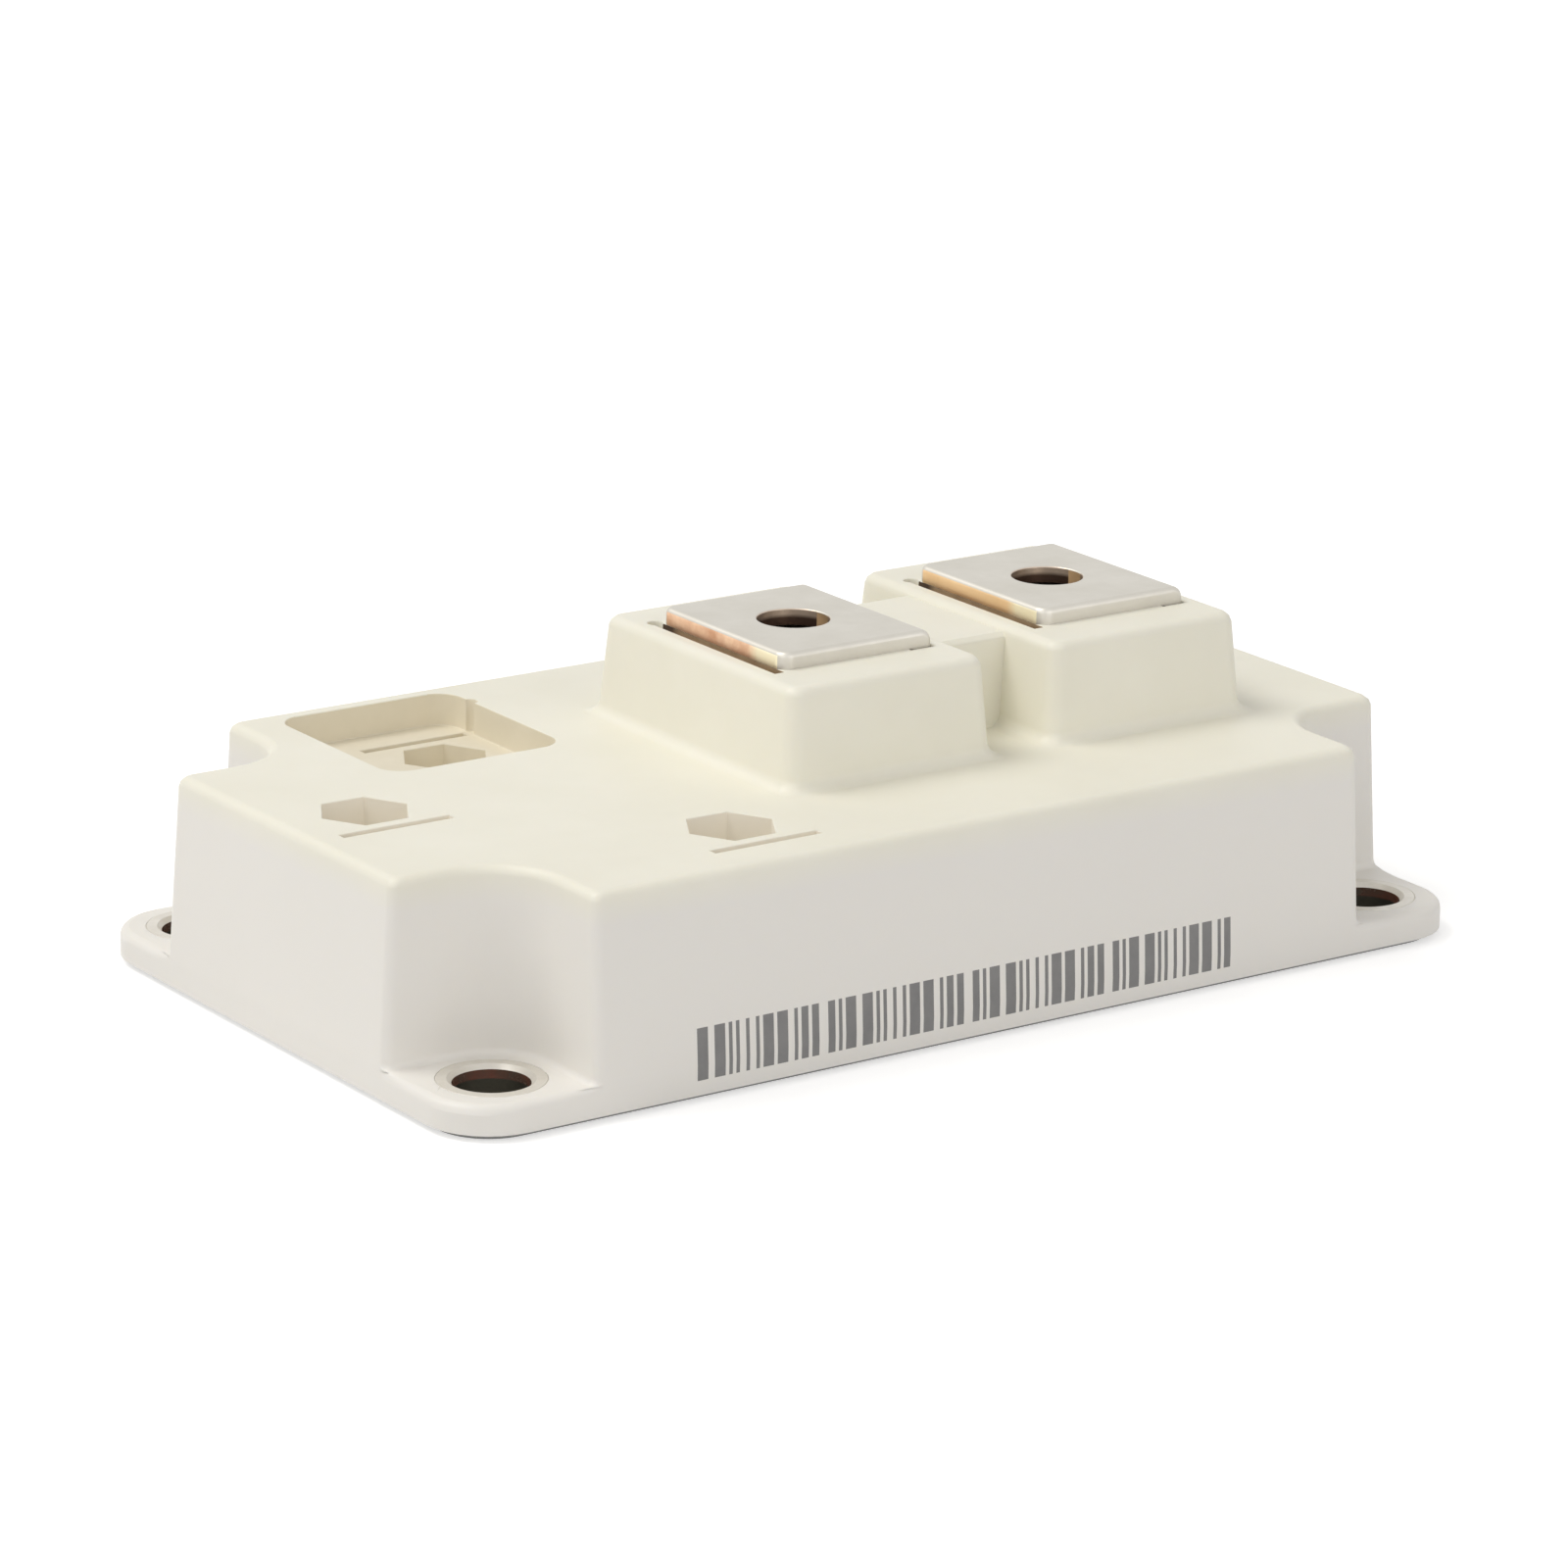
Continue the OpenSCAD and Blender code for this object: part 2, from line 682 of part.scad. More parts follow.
// Room in the gel for one substrate with its chips and wires
module circuit_room(index) {
    translate([substrate_x(index), 0, 0]) {
        slab(substrate_l + 2 * gel_gap, substrate_w + 2 * gel_gap, copper_z - plate_t + gel_gap + 1, plate_t - 1);
        translate([0, chip_y, 0])
            slab(2 * chip_x + chip_l + 2 * gel_gap, chip_w + 2 * gel_gap, chip_t + gel_gap + 1, copper_z - 1);
        for (side = [0, 1], step = [[foot_l, strap_t], [fold_r, fold_r], [strap_t, gel_z]])
            mirror([0, side, 0])
            translate([-foot_w / 2 - gel_gap, foot_y - gel_gap, copper_z - 1])
            cube([foot_w + 2 * gel_gap, step[0] + 2 * gel_gap, step[1] + 1 + gel_gap]);
    }
    wire_set(index, gel_gap);
}

module silicone_gel() {
    color("#d9e6ea")
    difference() {
        loft([
            for (z = [plate_t, gel_z])
            at_height(body_outline(side_lean(z) + wall + gel_gap, well_lean(z) + wall + gel_gap, upright_round), z)
        ]);
        for (i = substrates) circuit_room(i);
    }
}

// ---- assembly ----

base_plate();
housing();
for (i = ears) mounting_bush(i);
power_terminal(terminals[0], upper_bar_z, 1);  // power_terminal_1
power_terminal(terminals[1], lower_bar_z, -1);  // power_terminal_2
for (i = [1:2]) terminal_nut(terminals[i - 1]);
for (i = substrates) lower_copper(i);
for (i = substrates) ceramic_tile(i);
for (i = substrates) copper_pattern(i);
for (i = chips) power_chip(i);
for (i = substrates) bond_wires(i);
silicone_gel();
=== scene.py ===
import bpy
import bmesh
import json
import math
from mathutils import Matrix, Vector


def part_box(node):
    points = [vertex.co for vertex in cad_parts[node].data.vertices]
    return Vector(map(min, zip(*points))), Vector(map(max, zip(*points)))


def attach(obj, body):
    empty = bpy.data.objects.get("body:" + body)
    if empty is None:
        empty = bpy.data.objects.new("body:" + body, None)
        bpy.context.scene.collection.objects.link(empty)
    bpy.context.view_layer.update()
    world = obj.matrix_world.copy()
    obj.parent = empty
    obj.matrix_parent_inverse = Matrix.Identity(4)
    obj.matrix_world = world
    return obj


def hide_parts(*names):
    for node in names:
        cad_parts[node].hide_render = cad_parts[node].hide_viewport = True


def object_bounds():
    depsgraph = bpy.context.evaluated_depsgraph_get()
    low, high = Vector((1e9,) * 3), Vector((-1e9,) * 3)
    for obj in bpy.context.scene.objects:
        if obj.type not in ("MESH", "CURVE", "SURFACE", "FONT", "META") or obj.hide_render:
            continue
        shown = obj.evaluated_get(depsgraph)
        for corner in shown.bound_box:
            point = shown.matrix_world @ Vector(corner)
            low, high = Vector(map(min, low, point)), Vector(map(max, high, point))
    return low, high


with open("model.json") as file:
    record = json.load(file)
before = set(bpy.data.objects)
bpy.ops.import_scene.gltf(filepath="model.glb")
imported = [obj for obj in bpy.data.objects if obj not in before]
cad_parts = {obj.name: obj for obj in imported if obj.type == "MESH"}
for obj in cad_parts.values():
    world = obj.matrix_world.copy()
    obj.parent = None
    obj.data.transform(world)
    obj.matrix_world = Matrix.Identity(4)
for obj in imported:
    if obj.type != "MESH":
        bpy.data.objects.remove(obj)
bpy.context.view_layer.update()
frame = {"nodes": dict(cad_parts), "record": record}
nodes = frame["nodes"]
lowCorner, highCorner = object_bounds()
mm = 0.001          # lengths below are millimetres times mm
touch = 0.02 * mm   # a point closer than this to a face or a height lies on it

# Heights that several pieces share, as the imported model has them
module = {
    "lidHeight": 19.5 * mm,
    "blockTop": 28.6 * mm,
}
meshing = {
    "merge": 0.004 * mm,   # points of a CAD mesh closer than this are one
    "flat": 0.3,           # faces within this many degrees are one
    "cut": 0.001 * mm, "fineCut": 0.0005 * mm,
}


def linearValue(value):
    value /= 255
    return value / 12.92 if value <= 0.04045 else ((value + 0.055) / 1.055) ** 2.4


def tone(red, green, blue):
    # screen colour, 0 to 255, as the linear colour that a shader takes
    return (linearValue(red), linearValue(green), linearValue(blue), 1)


def addNode(tree, kind, inputs=(), **settings):
    node = tree.nodes.new(kind)
    for name, value in settings.items():
        setattr(node, name, value)
    for name, value in dict(inputs).items():
        socket = node.inputs[name]
        if isinstance(value, bpy.types.NodeSocket):
            tree.links.new(value, socket)
        else:
            socket.default_value = value
    return node


def newGroup(name, takes, gives):
    group = bpy.data.node_groups.new(name, "ShaderNodeTree")
    newSocket = group.interface.new_socket
    for label, kind, value in takes:
        newSocket(label, in_out="INPUT", socket_type="NodeSocket" + kind).default_value = value
    for label, kind in gives:
        newSocket(label, in_out="OUTPUT", socket_type="NodeSocket" + kind)
    start = group.nodes.new("NodeGroupInput").outputs
    return group, start, group.nodes.new("NodeGroupOutput").inputs


def mathNode(tree, operation, first, second=0.0):
    inputs = {0: first, 1: second}
    return addNode(tree, "ShaderNodeMath", inputs, operation=operation).outputs[0]


def rangeNode(tree, value, fromLow, fromHigh, toLow, toHigh):
    return addNode(tree, "ShaderNodeMapRange", {
        "Value": value, "From Min": fromLow, "From Max": fromHigh,
        "To Min": toLow, "To Max": toHigh,
    }).outputs["Result"]


def mixColour(tree, factor, first, second):
    # 6, 7 and the output 2 are the colour sockets of the node
    inputs = {"Factor": factor, 6: first, 7: second}
    return addNode(tree, "ShaderNodeMix", inputs, data_type="RGBA").outputs[2]


def noiseNode(tree, place, size, detail, roughness):
    scale = mathNode(tree, "DIVIDE", 1.0, size)
    return addNode(tree, "ShaderNodeTexNoise", {
        "Vector": place, "Scale": scale, "Detail": detail, "Roughness": roughness,
    }).outputs["Fac"]


def objectPlace(tree):
    return tree.nodes.new("ShaderNodeTexCoord").outputs["Object"]


def splitNode(tree, vector):
    return addNode(tree, "ShaderNodeSeparateXYZ", {0: vector}).outputs


def lengthNode(tree, vector):
    return addNode(tree, "ShaderNodeVectorMath", {0: vector}, operation="LENGTH").outputs["Value"]


mottleNoise = {
    "patchDetail": 4.0, "patchRoughness": 0.6,
    "patchLow": 0.3, "patchHigh": 0.7,      # noise at the shade and at the full colour
    "grainDetail": 2.0, "grainRoughness": 0.5,
}


def makeMottle():
    # uneven colour and gloss of one finish, with a fine grain for its bump
    group, takes, gives = newGroup(
        "mottle",
        [
            ("Colour", "Color", (0.8, 0.8, 0.8, 1)), ("Shade", "Color", (0.7, 0.7, 0.7, 1)),
            ("Patch Size", "Float", 5 * mm), ("Grain Size", "Float", 0.1 * mm),
            ("Gloss Low", "Float", 0.4), ("Gloss High", "Float", 0.5),
        ],
        [("Colour", "Color"), ("Roughness", "Float"), ("Grain", "Float")],
    )
    place = objectPlace(group)
    patches = noiseNode(
        group, place, takes["Patch Size"], mottleNoise["patchDetail"], mottleNoise["patchRoughness"]
    )
    grain = noiseNode(
        group, place, takes["Grain Size"], mottleNoise["grainDetail"], mottleNoise["grainRoughness"]
    )
    spread = rangeNode(group, patches, mottleNoise["patchLow"], mottleNoise["patchHigh"], 0.0, 1.0)
    colour = mixColour(group, spread, takes["Shade"], takes["Colour"])
    roughness = rangeNode(group, spread, 0.0, 1.0, takes["Gloss High"], takes["Gloss Low"])
    group.links.new(colour, gives["Colour"])
    group.links.new(roughness, gives["Roughness"])
    group.links.new(grain, gives["Grain"])
    return group


mottle = makeMottle()
lookSockets = {
    "colour": "Colour", "shade": "Shade", "patch": "Patch Size",
    "grain": "Grain Size", "glossLow": "Gloss Low", "glossHigh": "Gloss High",
}


def startFinish(name, look):
    # a material with the look's gloss, grain and metal, and its mottled colour, not linked yet
    material = bpy.data.materials.new(name)
    material.use_nodes = True
    tree = material.node_tree
    shader = tree.nodes["Principled BSDF"].inputs
    node = tree.nodes.new("ShaderNodeGroup")
    node.node_tree = mottle
    for key, socketName in lookSockets.items():
        node.inputs[socketName].default_value = look[key]
    bump = addNode(tree, "ShaderNodeBump", {
        "Height": node.outputs["Grain"], "Strength": look["bump"], "Distance": look["depth"],
    })
    tree.links.new(node.outputs["Roughness"], shader["Roughness"])
    tree.links.new(bump.outputs["Normal"], shader["Normal"])
    shader["Metallic"].default_value = look.get("metallic", 0.0)
    for socketName, value in look.get("body", {}).items():
        shader[socketName].default_value = value
    return material, tree, shader, node.outputs["Colour"]


def makeFinish(name, look, *fades):
    # one finish, which may fade into other colours along the part's axes
    material, tree, shader, colour = startFinish(name, look)
    for fade in fades:
        along = splitNode(tree, objectPlace(tree))[fade["axis"]]
        amount = rangeNode(tree, along, fade["from"], fade["to"], 0.0, fade["most"])
        colour = mixColour(tree, amount, colour, fade["colour"])
    tree.links.new(colour, shader["Base Color"])
    return material


plasticLook = {
    "colour": tone(243, 240, 226), "shade": tone(239, 236, 221),
    "patch": 14 * mm, "grain": 0.35 * mm,
    "glossLow": 0.42, "glossHigh": 0.52, "bump": 0.12, "depth": 0.02 * mm,
    "body": {
        "Subsurface Weight": 0.12, "Subsurface Radius": (1.0, 0.85, 0.6),
        "Subsurface Scale": 0.8 * mm, "IOR": 1.5,
    },
}
plasticSides = {   # the walls look cooler than the lid
    "colour": tone(238, 235, 229), "axis": "Z", "from": 19.2 * mm, "to": 16.5 * mm, "most": 1.0,
}
# painted shade: the recess's inside is coloured darker and beige, as the shade in it
recessShadeLook = {
    "colour": tone(234, 226, 206), "shade": tone(228, 220, 199),
    "patch": 5 * mm, "grain": 0.3 * mm,
    "glossLow": 0.5, "glossHigh": 0.6, "bump": 0.15, "depth": 0.02 * mm,
}
# painted shade: the pockets' insides are coloured a little warmer, as the shade in them
pocketShadeLook = {
    "colour": tone(244, 238, 225), "shade": tone(240, 234, 220),
    "patch": 5 * mm, "grain": 0.3 * mm,
    "glossLow": 0.5, "glossHigh": 0.6, "bump": 0.15, "depth": 0.02 * mm,
}
# painted shade: the groove beside each strap's end is coloured dark brown, as the shade there
grooveShadeLook = {
    "colour": tone(168, 144, 112), "shade": tone(146, 122, 92),
    "patch": 2 * mm, "grain": 0.2 * mm,
    "glossLow": 0.55, "glossHigh": 0.7, "bump": 0.2, "depth": 0.02 * mm,
}
grooveEndShade = {   # painted shade: the rear end of a groove is painted darkest
    "colour": tone(72, 52, 34), "axis": "Y", "from": 6.6 * mm, "to": 7.6 * mm, "most": 1.0,
}
inkLook = {
    "colour": tone(122, 121, 121), "shade": tone(136, 135, 134),
    "patch": 2.5 * mm, "grain": 0.15 * mm,
    "glossLow": 0.5, "glossHigh": 0.65, "bump": 0.1, "depth": 0.005 * mm,
}
nickelLook = {
    "colour": tone(209, 205, 196), "shade": tone(199, 195, 186),
    "patch": 6 * mm, "grain": 0.25 * mm, "metallic": 1.0,
    "glossLow": 0.44, "glossHigh": 0.56, "bump": 0.25, "depth": 0.01 * mm,
}
shearedLook = {   # bare copper where the strap was cut off
    "colour": tone(244, 208, 176), "shade": tone(214, 166, 132),
    "patch": 2.4 * mm, "grain": 0.12 * mm, "metallic": 0.8,
    "glossLow": 0.35, "glossHigh": 0.5, "bump": 0.3, "depth": 0.02 * mm,
}
goldenEnd = {   # the second terminal's end is paler
    "colour": tone(240, 206, 156), "axis": "X", "from": -8 * mm, "to": 4 * mm, "most": 0.8,
}
paintedEndHighlight = {   # painted highlight: the front of the cut is paled to cream, as light caught there
    "colour": tone(250, 240, 208), "axis": "Y", "from": -4.2 * mm, "to": -5.6 * mm, "most": 1.0,
}
holeLook = {
    "colour": tone(206, 190, 174), "shade": tone(186, 168, 150),
    "patch": 1.5 * mm, "grain": 0.12 * mm, "metallic": 0.9,
    "glossLow": 0.3, "glossHigh": 0.45, "bump": 0.3, "depth": 0.02 * mm,
}
holeLowShade = {   # painted shade: the wall of the punched hole darkens below its shear zone, as shade low in the hole
    "colour": tone(84, 66, 56), "axis": "Z", "from": 29.6 * mm, "to": 29.25 * mm, "most": 1.0,
}
bushLook = {
    "colour": tone(229, 225, 216), "shade": tone(218, 213, 203),
    "patch": 2 * mm, "grain": 0.2 * mm, "metallic": 0.25,
    "glossLow": 0.34, "glossHigh": 0.48, "bump": 0.2, "depth": 0.01 * mm,
}
# painted shade: the bores are coloured dark, as the shade inside them; the reddish patches of bare
# copper stand in for a reflected streak of light
boreShadeLook = {
    "colour": tone(126, 80, 66), "shade": tone(86, 84, 74),
    "patch": 2.2 * mm, "grain": 0.15 * mm, "metallic": 0.3,
    "glossLow": 0.2, "glossHigh": 0.32, "bump": 0.1, "depth": 0.01 * mm,
}
steelLook = {
    "colour": tone(188, 180, 170), "shade": tone(160, 152, 143),
    "patch": 2 * mm, "grain": 0.2 * mm, "metallic": 1.0,
    "glossLow": 0.25, "glossHigh": 0.4, "bump": 0.2, "depth": 0.01 * mm,
}
copperLook = {
    "colour": tone(214, 150, 118), "shade": tone(186, 116, 86),
    "patch": 3 * mm, "grain": 0.2 * mm, "metallic": 1.0,
    "glossLow": 0.3, "glossHigh": 0.42, "bump": 0.15, "depth": 0.01 * mm,
}
ceramicLook = {
    "colour": tone(243, 242, 236), "shade": tone(236, 234, 226),
    "patch": 3 * mm, "grain": 0.15 * mm,
    "glossLow": 0.35, "glossHigh": 0.5, "bump": 0.1, "depth": 0.01 * mm,
}
siliconLook = {
    "colour": tone(120, 126, 134), "shade": tone(104, 110, 118),
    "patch": 4 * mm, "grain": 0.2 * mm, "metallic": 0.4,
    "glossLow": 0.18, "glossHigh": 0.28, "bump": 0.05, "depth": 0.01 * mm,
}
wireLook = {
    "colour": tone(224, 225, 228), "shade": tone(206, 207, 211),
    "patch": 1 * mm, "grain": 0.1 * mm, "metallic": 1.0,
    "glossLow": 0.22, "glossHigh": 0.34, "bump": 0.1, "depth": 0.005 * mm,
}
gelLook = {
    "colour": tone(226, 236, 238), "shade": tone(214, 227, 230),
    "patch": 8 * mm, "grain": 1.5 * mm, "body": {"Transmission Weight": 0.8},
    "glossLow": 0.06, "glossHigh": 0.14, "bump": 0.1, "depth": 0.05 * mm,
}
plate = {
    # painted shade: the steep side faces are coloured this dark grey, as the shade under the
    # housing's rim
    "edgeShade": tone(132, 132, 130), "edgeUpTo": 0.5,   # faces that stand steeper than this
    "holeInset": 6.7 * mm,      # screw holes, from both edges of the module
    "holeRadius": 3.3 * mm,
    "drilled": 0.06 * mm,       # bare copper, painted dark as shade, goes this far past a hole's wall
    "drilledFade": 0.05 * mm,
}


def makeBasePlate():
    # nickel on its flats, painted darker grey on its steep edge faces as the shade under the
    # housing's rim, and bare copper painted dark as shade in its drilled holes
    material, tree, shader, flats = startFinish("platedCopper", nickelLook)
    facing = splitNode(tree, tree.nodes.new("ShaderNodeNewGeometry").outputs["Normal"])
    upright = mathNode(tree, "ABSOLUTE", facing["Z"])
    steep = mathNode(tree, "LESS_THAN", upright, plate["edgeUpTo"])
    platedWithEdgeShade = mixColour(tree, steep, flats, plate["edgeShade"])
    holeX = highCorner.x - plate["holeInset"]
    holeY = highCorner.y - plate["holeInset"]
    place = splitNode(tree, objectPlace(tree))
    awayX = mathNode(tree, "SUBTRACT", mathNode(tree, "ABSOLUTE", place["X"]), holeX)
    awayY = mathNode(tree, "SUBTRACT", mathNode(tree, "ABSOLUTE", place["Y"]), holeY)
    flat = addNode(tree, "ShaderNodeCombineXYZ", {"X": awayX, "Y": awayY}).outputs[0]
    edge = plate["holeRadius"] + plate["drilled"]
    boreShadeMask = rangeNode(tree, lengthNode(tree, flat), edge, edge + plate["drilledFade"], 1.0, 0.0)
    # the drilled holes get the bores' painted shade
    tree.links.new(mixColour(tree, boreShadeMask, platedWithEdgeShade, boreShadeLook["shade"]), shader["Base Color"])
    return material


plastic = makeFinish("ivoryPlastic", plasticLook, plasticSides)
recessPaintedShade = makeFinish("recessPaintedShade", recessShadeLook)
pocketPaintedShade = makeFinish("pocketPaintedShade", pocketShadeLook)
groovePaintedShade = makeFinish("groovePaintedShade", grooveShadeLook, grooveEndShade)
ink = makeFinish("printedInk", inkLook)
nickel = makeFinish("nickel", nickelLook)
shearedCopper = makeFinish("shearedCopper", shearedLook, goldenEnd, paintedEndHighlight)
holeCopper = makeFinish("holeCopper", holeLook, holeLowShade)
bushSteel = makeFinish("bushSteel", bushLook)
paintedBoreShade = makeFinish("paintedBoreShade", boreShadeLook)
nutSteel = makeFinish("nutSteel", steelLook)
platedCopper = makeBasePlate()
bareCopper = makeFinish("bareCopper", copperLook)
ceramic = makeFinish("ceramic", ceramicLook)
silicon = makeFinish("silicon", siliconLook)
wire = makeFinish("wireAluminium", wireLook)
gel = makeFinish("clearGel", gelLook)
print("materials made")


def addObject(name, data):
    added = bpy.data.objects.new(name, data)
    bpy.context.scene.collection.objects.link(added)
    return added


def wholeOf(mesh):
    return list(mesh.verts) + list(mesh.edges) + list(mesh.faces)


def seatOf(nodeName):
    # a node's middle, its bottom and its top
    low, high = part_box(nodeName)
    return ((low[0] + high[0]) / 2, (low[1] + high[1]) / 2), low[2], high[2]


def copyOfNode(nodeName):
    # a CAD node's triangles merged into clean faces
    mesh = bmesh.new()
    mesh.from_mesh(nodes[nodeName].data)
    bmesh.ops.remove_doubles(mesh, verts=mesh.verts, dist=meshing["merge"])
    bmesh.ops.dissolve_limit(
        mesh, angle_limit=math.radians(meshing["flat"]),
        verts=mesh.verts, edges=mesh.edges, delimit={"NORMAL"},
    )
    return mesh


def sharpEdges(mesh, angle):
    least = math.radians(angle)
    return [
        edge for edge in mesh.edges
        if len(edge.link_faces) == 2 and edge.calc_face_angle() > least
    ]


def softenEdges(mesh, edges, width, segments, clamp=True):
    bmesh.ops.bevel(
        mesh, geom=edges, offset=width, offset_type="OFFSET", segments=segments, profile=0.5,
        affect="EDGES", clamp_overlap=clamp, material=-1,
    )


def finishPiece(mesh, name, materials, smoothAngle=35):
    data = bpy.data.meshes.new(name)
    mesh.to_mesh(data)
    mesh.free()
    piece = addObject(name, data)
    for material in materials:
        data.materials.append(material)
    data.shade_smooth()
    data.set_sharp_from_angle(angle=math.radians(smoothAngle))
    flats = piece.modifiers.new("flatFaces", "WEIGHTED_NORMAL")   # so large faces shade flat
    flats.keep_sharp = True
    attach(piece, "root")
    return piece


housing = {
    "recessFloor": 16.5 * mm,
    "edge": 0.12 * mm,           # rounding of the openings' rims
    "edgeSteps": 2, "edgeAngle": 50,
    "recess": (-36.4 * mm, -18.5 * mm, 8.1 * mm, 27.8 * mm),   # left, right, front, rear
    "notchRadius": 0.7 * mm,     # of the vent in the recess's right wall
    "pocketReach": 4.4 * mm,     # half the room round a nut pocket
    "slotOffset": 5.2 * mm,
    "slotReach": (5.8 * mm, 0.7 * mm),
    "deepest": 13.0 * mm,        # the rooms' faces lie above this
    "grooveAway": 7.65 * mm,     # near edge of the groove, from the screw hole
    "grooveWidth": 1.0 * mm, "grooveReach": 9.7 * mm,
    "grooveLip": 0.05 * mm, "grooveDepth": 1.1 * mm,   # the painted shade lies between these depths
}
housingMaterials = [plastic, recessPaintedShade, ink, groovePaintedShade, pocketPaintedShade]
bars = {
    "left": -30.6 * mm, "right": 25.95 * mm,
    "bottom": 1.9 * mm, "top": 6.43 * mm,
    "step": 0.36 * mm,
    "wallFacing": 0.99, "wallReach": 1.3 * mm,   # how the front wall is told from other faces
}


def pocketRooms():
    # left, right, front and rear of every room that opens in the lid, the recess first
    left, right, front, rear = housing["recess"]
    rooms = [(left, right + housing["notchRadius"], front, rear)]
    reach = housing["pocketReach"]
    halfL, halfW = housing["slotReach"]
    for opening in frame["record"]["physics"]["openings"]:
        if opening["name"].startswith("nut_pocket"):
            low, high = opening["box_m"]
            x, y = (low[0] + high[0]) / 2, (low[1] + high[1]) / 2
            rooms.append((x - reach, x + reach, y - reach, y + reach))
            side = 1 if opening["name"].endswith("rear") else -1
            slotY = y + side * housing["slotOffset"]
            rooms.append((x - halfL, x + halfL, slotY - halfW, slotY + halfW))
    return rooms


def paintPocketShade(mesh):
    # painted shade: the insides of the recess, pockets and slots get darker, warmer colours that
    # stand in for the shade in them
    rooms = pocketRooms()
    ceiling = module["lidHeight"] - touch
    for face in mesh.faces:
        x, y, z = face.calc_center_median()
        if not housing["deepest"] < z < ceiling:
            continue
        inside = [room for room in rooms if room[0] < x < room[1] and room[2] < y < room[3]]
        if inside:
            roomShade = recessPaintedShade if inside[0] is rooms[0] else pocketPaintedShade
            face.material_index = housingMaterials.index(roomShade)


def paintGrooveShade(mesh):
    # painted shade: the groove at the strap's free end is coloured dark brown, as the shade beside
    # the strap
    for number in ("1", "2"):
        edge = seatOf("terminal_nut_" + number)[0][0] - housing["grooveAway"]
        for face in mesh.faces:
            x, y, z = face.calc_center_median()
            across = edge - housing["grooveWidth"] < x < edge
            down = housing["grooveLip"] < module["blockTop"] - z < housing["grooveDepth"]
            if across and down and abs(y) <= housing["grooveReach"]:
                face.material_index = housingMaterials.index(groovePaintedShade)


def barEdges():
    # made-up bars and gaps, one to three steps wide, in a row that doesn't repeat soon
    edges, place, count = [], bars["left"], 0
    while place < bars["right"]:
        mix = (7 * count * count + 3 * count + 5) % 13
        width = (1 + mix % 3) * bars["step"]
        gap = (1 + (mix // 3) % 3 * 0.8) * bars["step"]
        edges.append((place, min(place + width, bars["right"])))
        place += width + gap
        count += 1
    return edges


def cutAcross(mesh, faces, place, normal):
    geometry = set(faces)
    for face in faces:
        geometry.update(face.edges)
        geometry.update(face.verts)
    cut = bmesh.ops.bisect_plane(
        mesh, geom=list(geometry), dist=meshing["fineCut"], plane_co=place, plane_no=normal
    )
    return [item for item in cut["geom"] if isinstance(item, bmesh.types.BMFace)]


def printBars(mesh):
    # the bars are faces of the front wall itself
    furthest = lowCorner.y + bars["wallReach"]
    wall = [
        face for face in mesh.faces
        if face.normal.y < -bars["wallFacing"] and face.calc_center_median().y < furthest
    ]
    for height in (bars["bottom"], bars["top"]):
        wall = cutAcross(mesh, wall, (0, 0, height), (0, 0, 1))
    band = [face for face in wall if bars["bottom"] < face.calc_center_median().z < bars["top"]]
    edges = barEdges()
    for left, right in edges:
        band = cutAcross(mesh, band, (left, 0, 0), (1, 0, 0))
        band = cutAcross(mesh, band, (right, 0, 0), (1, 0, 0))
    for face in band:
        middle = face.calc_center_median().x
        if any(left < middle < right for left, right in edges):
            face.material_index = housingMaterials.index(ink)


def onRim(edge):
    heights = (housing["recessFloor"], module["lidHeight"], module["blockTop"])
    return any(all(abs(vert.co.z - height) < touch for vert in edge.verts) for height in heights)


def makeHousing():
    mesh = copyOfNode("housing")
    rims = [edge for edge in sharpEdges(mesh, housing["edgeAngle"]) if onRim(edge)]
    softenEdges(mesh, rims, housing["edge"], housing["edgeSteps"], clamp=False)
    paintPocketShade(mesh)
    paintGrooveShade(mesh)
    printBars(mesh)
    piece = finishPiece(mesh, "mouldedHousing", housingMaterials)
    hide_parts("housing")


makeHousing()
print("housing made")

terminal = {
    "rollover": 0.5 * mm,        # rounding of the strap's outer edges
    "rolloverSteps": 4, "edgeAngle": 40,
    "holeReach": 3.35 * mm,      # what lies nearer than this to the hole's axis is the hole
    "holeEdge": 0.12 * mm, "holeEdgeSteps": 2,
    "back": 8.3 * mm,            # outside of the bend, from the screw hole
    "bendRadius": 2.4 * mm,      # outside radius in the CAD
    "pressedRadius": 1.1 * mm,   # and as it is pressed tight
    "sunk": 1.4 * mm,            # the rounding ends this far under the block's top
    "endFacing": 0.95,           # the sheared end looks this straight to the left
    "wallTilt": 0.1,             # the hole's wall looks up by less than this
    "topTilt": 0.2,              # faces that look up by more are plated
}
strapFinishes = [nickel, shearedCopper, holeCopper]


def onOutside(place, middleX):
    # whether a point is on the strap's top or on the outside of its bend or leg
    if place.z > highCorner.z - touch:
        return True
    lowest = module["blockTop"] - terminal["sunk"] - touch / 2
    if place.z < lowest or place.x < middleX + terminal["back"] / 2:
        return False
    centreX = middleX + terminal["back"] - terminal["pressedRadius"]
    centreZ = highCorner.z - terminal["pressedRadius"]
    if place.z > centreZ:
        away = math.hypot(place.x - centreX, place.z - centreZ)
        return abs(away - terminal["pressedRadius"]) < touch
    return place.x > middleX + terminal["back"] - touch


